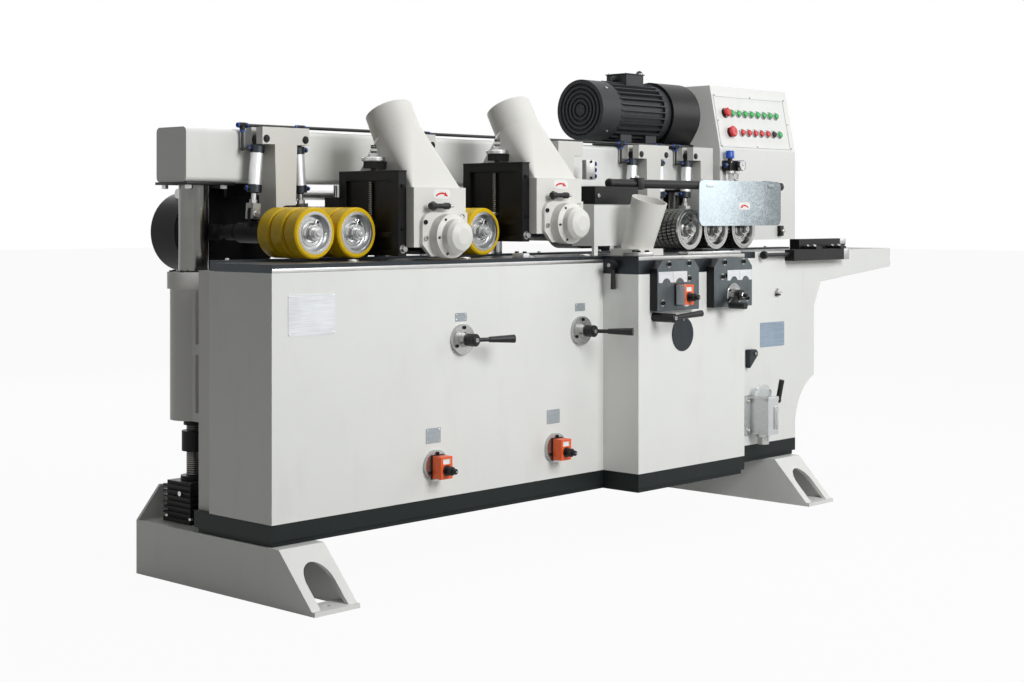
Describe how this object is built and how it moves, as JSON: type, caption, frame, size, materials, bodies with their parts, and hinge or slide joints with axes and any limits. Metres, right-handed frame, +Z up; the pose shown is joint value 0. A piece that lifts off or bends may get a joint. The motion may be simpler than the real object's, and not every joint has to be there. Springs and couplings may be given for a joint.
{
  "type": "four sided moulder",
  "caption": "Floor-standing four sided moulder with driven feed rollers on a lifting beam, hooded top cutters, side and bottom spindles and an operator console.",
  "frame": {"origin": "middle of the machine's footprint box, on the floor", "axes": "+X along the feed path towards the infeed end, +Y to the back, +Z up"},
  "size_m": [3.012, 0.9893, 1.522],
  "materials": {
    "white_paint": "satin off-white paint",
    "plinth_paint": "satin green-black paint",
    "cast_paint": "painted casting",
    "ground_steel": "ground",
    "bright_steel": "machined",
    "chrome_post": "polished",
    "black_paint": "satin black",
    "motor_paint": "dark grey paint",
    "dark_steel": "blackened",
    "yellow_tyre": "cast polyurethane",
    "galvanised": "zinc spangle",
    "orange_plastic": "moulded",
    "red_plastic": "moulded",
    "green_plastic": "moulded",
    "black_plastic": "moulded",
    "aluminium": "drawn",
    "black_hose": "nylon tube",
    "red_hose": "polyurethane tube"
  },
  "bodies": {
    "frame": {"base_feet": "white_paint", "base_plinth": "plinth_paint", "cabinet_shell": "white_paint", "bed_casting": "cast_paint", "column_castings": "cast_paint", "lift_gearboxes": "black_paint", "outfeed_table": "ground_steel", "infeed_table": "cast_paint", "fence_bars": "dark_steel", "console_cabinet": "white_paint", "control_plates": "dark_steel", "position_counters": "orange_plastic", "oil_pump": "aluminium", "side_hood": "white_paint", "guard_rail": "black_paint", "air_service_unit": "aluminium", "air_hose_coil": "red_hose", "spindle_motors": "motor_paint"},
    "beam": {"feed_beam": "white_paint", "guide_posts": "chrome_post", "roller_brackets": "cast_paint", "air_cylinders": "aluminium", "gear_reducers": "black_paint", "feed_motor": "motor_paint", "belt_guard": "black_paint", "air_lines": "black_hose"},
    "feed_shaft": {"feed_shaft": "bright_steel"},
    "rods_left": {"cylinder_rods_left": "bright_steel"},
    "rods_right": {"cylinder_rods_right": "bright_steel"},
    "arm_1": {"roller_arm_1": "black_paint"},
    "roller_1": {"feed_roller_1": "yellow_tyre"},
    "arm_2": {"roller_arm_2": "black_paint"},
    "roller_2": {"feed_roller_2": "yellow_tyre"},
    "arm_3": {"roller_arm_3": "black_paint"},
    "roller_3": {"feed_roller_3": "yellow_tyre"},
    "arm_4": {"roller_arm_4": "black_paint"},
    "roller_4": {"feed_roller_4": "bright_steel"},
    "arm_5": {"roller_arm_5": "black_paint"},
    "roller_5": {"feed_roller_5": "bright_steel"},
    "arm_6": {"roller_arm_6": "black_paint"},
    "roller_6": {"feed_roller_6": "bright_steel"},
    "head_1": {"top_hood_1": "cast_paint"},
    "shoe_1": {"pressure_shoe_1": "black_paint"},
    "top_cutter_1": {"top_spindle_1": "bright_steel"},
    "side_cutter_1": {"side_spindle_1": "bright_steel"},
    "lever_1": {"clamp_lever_1": "black_plastic"},
    "head_2": {"top_hood_2": "cast_paint"},
    "shoe_2": {"pressure_shoe_2": "black_paint"},
    "top_cutter_2": {"top_spindle_2": "bright_steel"},
    "side_cutter_2": {"side_spindle_2": "bright_steel"},
    "lever_2": {"clamp_lever_2": "black_plastic"},
    "lever_3": {"clamp_lever_3": "black_plastic"},
    "lever_4": {"clamp_lever_4": "black_plastic"},
    "bottom_cutter": {"bottom_spindle": "bright_steel"},
    "crank": {"hand_crank": "black_plastic"},
    "pump_lever": {"oil_lever": "black_plastic"},
    "flap": {"guard_flap": "galvanised"},
    "guide": {"infeed_guide": "black_paint"},
    "stops": {"emergency_stops": "red_plastic"},
    "buttons": {"push_buttons": "green_plastic"}
  },
  "joints": [
    {"name": "beam_lift", "type": "slide", "parent": "frame", "child": "beam", "axis": [0, 0, 1], "range_m": [0, 0.14]},
    {"name": "arm_1_swing", "type": "hinge", "parent": "beam", "child": "arm_1", "pos_m": [-1.188, 0.0637, 1], "axis": [0, 1, 0], "range_deg": [0, 10]},
    {"name": "roller_1_spin", "type": "hinge", "parent": "arm_1", "child": "roller_1", "pos_m": [-1.263, -0.0453, 0.95], "axis": [0, 1, 0], "continuous": true},
    {"name": "arm_2_swing", "type": "hinge", "parent": "beam", "child": "arm_2", "pos_m": [-1.188, 0.0637, 1], "axis": [0, -1, 0], "range_deg": [0, 10]},
    {"name": "roller_2_spin", "type": "hinge", "parent": "arm_2", "child": "roller_2", "pos_m": [-1.113, -0.0453, 0.95], "axis": [0, 1, 0], "continuous": true},
    {"name": "arm_3_swing", "type": "hinge", "parent": "beam", "child": "arm_3", "pos_m": [-0.686, 0.0637, 1], "axis": [0, -1, 0], "range_deg": [0, 10]},
    {"name": "roller_3_spin", "type": "hinge", "parent": "arm_3", "child": "roller_3", "pos_m": [-0.611, -0.0453, 0.95], "axis": [0, 1, 0], "continuous": true},
    {"name": "arm_4_swing", "type": "hinge", "parent": "beam", "child": "arm_4", "pos_m": [0.472, 0.0637, 1], "axis": [0, 1, 0], "range_deg": [0, 10]},
    {"name": "roller_4_spin", "type": "hinge", "parent": "arm_4", "child": "roller_4", "pos_m": [0.397, -0.0453, 0.95], "axis": [0, 1, 0], "continuous": true},
    {"name": "arm_5_swing", "type": "hinge", "parent": "beam", "child": "arm_5", "pos_m": [0.472, 0.0637, 1], "axis": [0, -1, 0], "range_deg": [0, 10]},
    {"name": "roller_5_spin", "type": "hinge", "parent": "arm_5", "child": "roller_5", "pos_m": [0.547, -0.0453, 0.95], "axis": [0, 1, 0], "continuous": true},
    {"name": "arm_6_swing", "type": "hinge", "parent": "beam", "child": "arm_6", "pos_m": [0.785, 0.0637, 1], "axis": [0, 1, 0], "range_deg": [0, 10]},
    {"name": "roller_6_spin", "type": "hinge", "parent": "arm_6", "child": "roller_6", "pos_m": [0.71, -0.0453, 0.95], "axis": [0, 1, 0], "continuous": true},
    {"name": "rods_left_stroke", "type": "slide", "parent": "beam", "child": "rods_left", "axis": [0.0846, 0, 0.9964], "range_m": [0, 0.016]},
    {"name": "rods_right_stroke", "type": "slide", "parent": "beam", "child": "rods_right", "axis": [-0.0846, 0, 0.9964], "range_m": [0, 0.016]},
    {"name": "feed_shaft_spin", "type": "hinge", "parent": "beam", "child": "feed_shaft", "pos_m": [-0.306, 0.4147, 1.06], "axis": [1, 0, 0], "continuous": true},
    {"name": "head_1_height", "type": "slide", "parent": "frame", "child": "head_1", "axis": [0, 0, 1], "range_m": [0, 0.05]},
    {"name": "shoe_1_float", "type": "slide", "parent": "head_1", "child": "shoe_1", "axis": [0, 0, 1], "range_m": [0, 0.006]},
    {"name": "top_cutter_1_spin", "type": "hinge", "parent": "head_1", "child": "top_cutter_1", "pos_m": [-0.889, -0.0953, 0.94], "axis": [0, 1, 0], "continuous": true},
    {"name": "head_2_height", "type": "slide", "parent": "frame", "child": "head_2", "axis": [0, 0, 1], "range_m": [-0.03, 0.02]},
    {"name": "shoe_2_float", "type": "slide", "parent": "head_2", "child": "shoe_2", "axis": [0, 0, 1], "range_m": [0, 0.006]},
    {"name": "top_cutter_2_spin", "type": "hinge", "parent": "head_2", "child": "top_cutter_2", "pos_m": [-0.385, -0.0953, 0.974], "axis": [0, 1, 0], "continuous": true},
    {"name": "side_cutter_1_spin", "type": "hinge", "parent": "frame", "child": "side_cutter_1", "pos_m": [-0.04, -0.2453, 0.8], "axis": [0, 0, 1], "continuous": true},
    {"name": "side_cutter_2_spin", "type": "hinge", "parent": "frame", "child": "side_cutter_2", "pos_m": [0.254, 0.0507, 0.9], "axis": [0, 0, 1], "continuous": true},
    {"name": "bottom_cutter_spin", "type": "hinge", "parent": "frame", "child": "bottom_cutter", "pos_m": [0.472, -0.0953, 0.817], "axis": [0, 1, 0], "continuous": true},
    {"name": "lever_1_clamp", "type": "hinge", "parent": "frame", "child": "lever_1", "pos_m": [-0.824, -0.2903, 0.646], "axis": [0, 1, 0], "range_deg": [-60, 60]},
    {"name": "lever_2_clamp", "type": "hinge", "parent": "frame", "child": "lever_2", "pos_m": [-0.31, -0.2903, 0.646], "axis": [0, 1, 0], "range_deg": [-60, 60]},
    {"name": "lever_3_clamp", "type": "hinge", "parent": "frame", "child": "lever_3", "pos_m": [-0.21, -0.2933, 0.844], "axis": [1, 0, 0], "range_deg": [-60, 25]},
    {"name": "lever_4_clamp", "type": "hinge", "parent": "frame", "child": "lever_4", "pos_m": [-0.125, -0.4253, 0.684], "axis": [0, 1, 0], "range_deg": [-5, 60]},
    {"name": "crank_turn", "type": "hinge", "parent": "frame", "child": "crank", "pos_m": [0.2485, -0.4453, 0.741], "axis": [0, 1, 0], "continuous": true},
    {"name": "pump_lever_stroke", "type": "hinge", "parent": "frame", "child": "pump_lever", "pos_m": [0.639, -0.2878, 0.3], "axis": [1, 0, 0], "range_deg": [-30, 25]},
    {"name": "flap_swing", "type": "hinge", "parent": "frame", "child": "flap", "pos_m": [0.608, -0.1733, 1.1], "axis": [-1, 0, 0], "range_deg": [0, 85]},
    {"name": "guide_slide", "type": "slide", "parent": "frame", "child": "guide", "axis": [0, -1, 0], "range_m": [0, 0.06]},
    {"name": "stops_press", "type": "slide", "parent": "frame", "child": "stops", "axis": [0, 0.9807, -0.1953], "range_m": [0, 0.004], "stiffness_N_per_m": 600},
    {"name": "buttons_press", "type": "slide", "parent": "frame", "child": "buttons", "axis": [0, 0.9807, -0.1953], "range_m": [0, 0.004], "stiffness_N_per_m": 600}
  ],
  "couplings": [
    {"joint": "arm_2_swing", "follows": "arm_1_swing", "ratio": 1},
    {"joint": "roller_2_spin", "follows": "roller_1_spin", "ratio": 1},
    {"joint": "arm_3_swing", "follows": "arm_1_swing", "ratio": 1},
    {"joint": "roller_3_spin", "follows": "roller_1_spin", "ratio": 1},
    {"joint": "arm_4_swing", "follows": "arm_1_swing", "ratio": 1},
    {"joint": "roller_4_spin", "follows": "roller_1_spin", "ratio": 1},
    {"joint": "arm_5_swing", "follows": "arm_1_swing", "ratio": 1},
    {"joint": "roller_5_spin", "follows": "roller_1_spin", "ratio": 1},
    {"joint": "arm_6_swing", "follows": "arm_1_swing", "ratio": 1},
    {"joint": "roller_6_spin", "follows": "roller_1_spin", "ratio": 1},
    {"joint": "rods_left_stroke", "follows": "arm_1_swing", "m_per_rad": 0.08789},
    {"joint": "rods_right_stroke", "follows": "arm_1_swing", "m_per_rad": 0.08789},
    {"joint": "feed_shaft_spin", "follows": "roller_1_spin", "ratio": 15}
  ]
}
